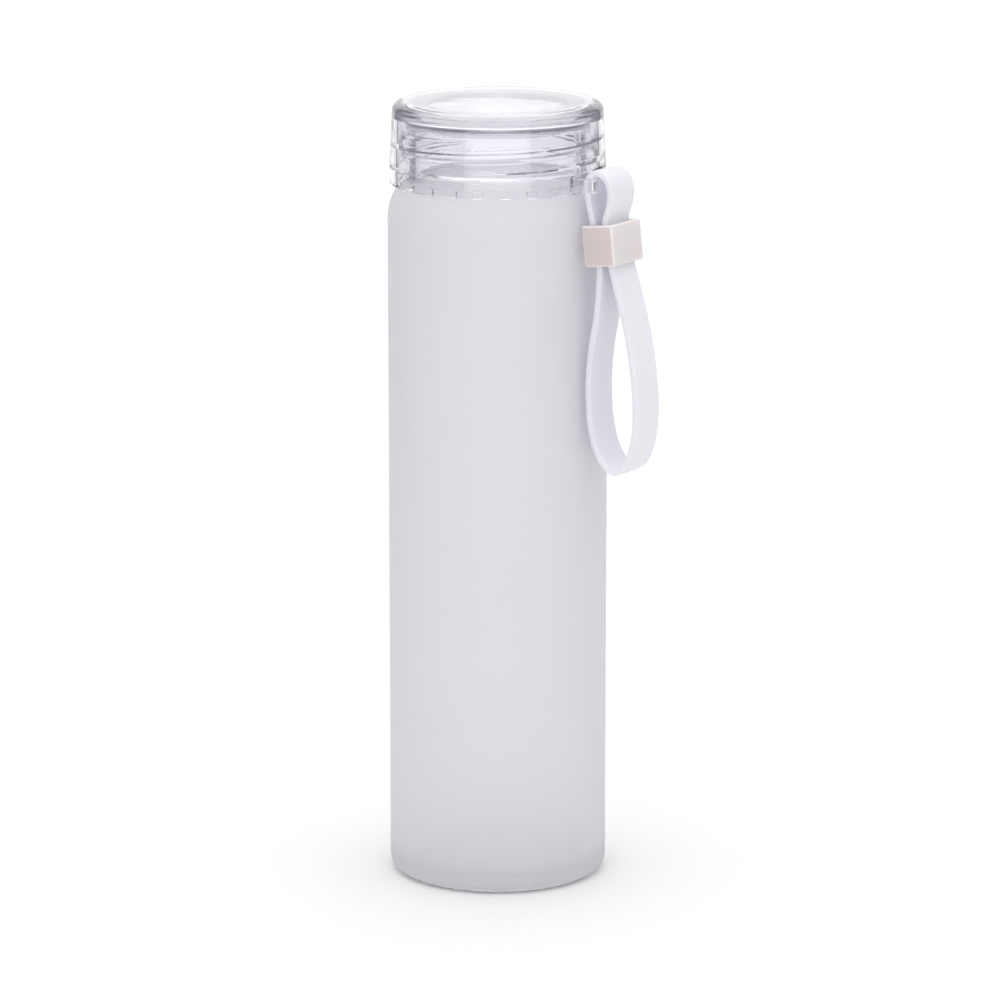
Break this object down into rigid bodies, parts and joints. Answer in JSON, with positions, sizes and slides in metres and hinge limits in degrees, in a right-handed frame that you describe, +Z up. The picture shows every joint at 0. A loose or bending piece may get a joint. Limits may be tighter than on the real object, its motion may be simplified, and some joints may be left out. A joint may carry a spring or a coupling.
{
  "type": "glass water bottle",
  "caption": "Cylindrical frosted glass water bottle with a clear screw cap, a turning clear collar and a looped soft carry strap held by a sliding sleeve.",
  "frame": {"origin": "on the bottle's axis, at the level of the foot that it stands on", "axes": "+Z up along the bottle's axis; +X from the axis to the strap lug"},
  "size_m": [0.0813, 0.062, 0.223],
  "materials": {
    "frosted_glass": "frosted outside, clear neck",
    "clear_cap": "clear polished plastic",
    "seal": "translucent soft silicone",
    "clear_ring": "clear polished plastic",
    "strap": "matte white silicone",
    "keeper": "matte white silicone, slightly warmer"
  },
  "bodies": {
    "bottle": {"glass_body": "frosted_glass"},
    "cap_lift": {"cap_seal": "seal"},
    "cap": {"screw_cap": "clear_cap"},
    "collar": {"carry_ring": "clear_ring"},
    "carry_strap": {"strap": "strap"},
    "keeper": {"strap_keeper": "keeper"}
  },
  "joints": [
    {"name": "cap_rise", "type": "slide", "parent": "bottle", "child": "cap_lift", "axis": [0, 0, 1], "range_m": [0, 0.02016]},
    {"name": "cap_turn", "type": "hinge", "parent": "cap_lift", "child": "cap", "pos_m": [0, 0, 0.213], "axis": [0, 0, 1], "range_deg": [0, 1296]},
    {"name": "collar_spin", "type": "hinge", "parent": "bottle", "child": "collar", "pos_m": [0, 0, 0.202], "axis": [0, 0, 1], "continuous": true},
    {"name": "strap_swing", "type": "hinge", "parent": "collar", "child": "carry_strap", "pos_m": [0.03645, 0, 0.2025], "axis": [0, -1, 0], "range_deg": [0, 160]},
    {"name": "keeper_slide", "type": "slide", "parent": "carry_strap", "child": "keeper", "axis": [-0.165, 0, 0.9863], "range_m": [-0.002, 0.001]}
  ],
  "couplings": [
    {"joint": "cap_rise", "follows": "cap_turn", "m_per_rad": 0.00089127}
  ]
}
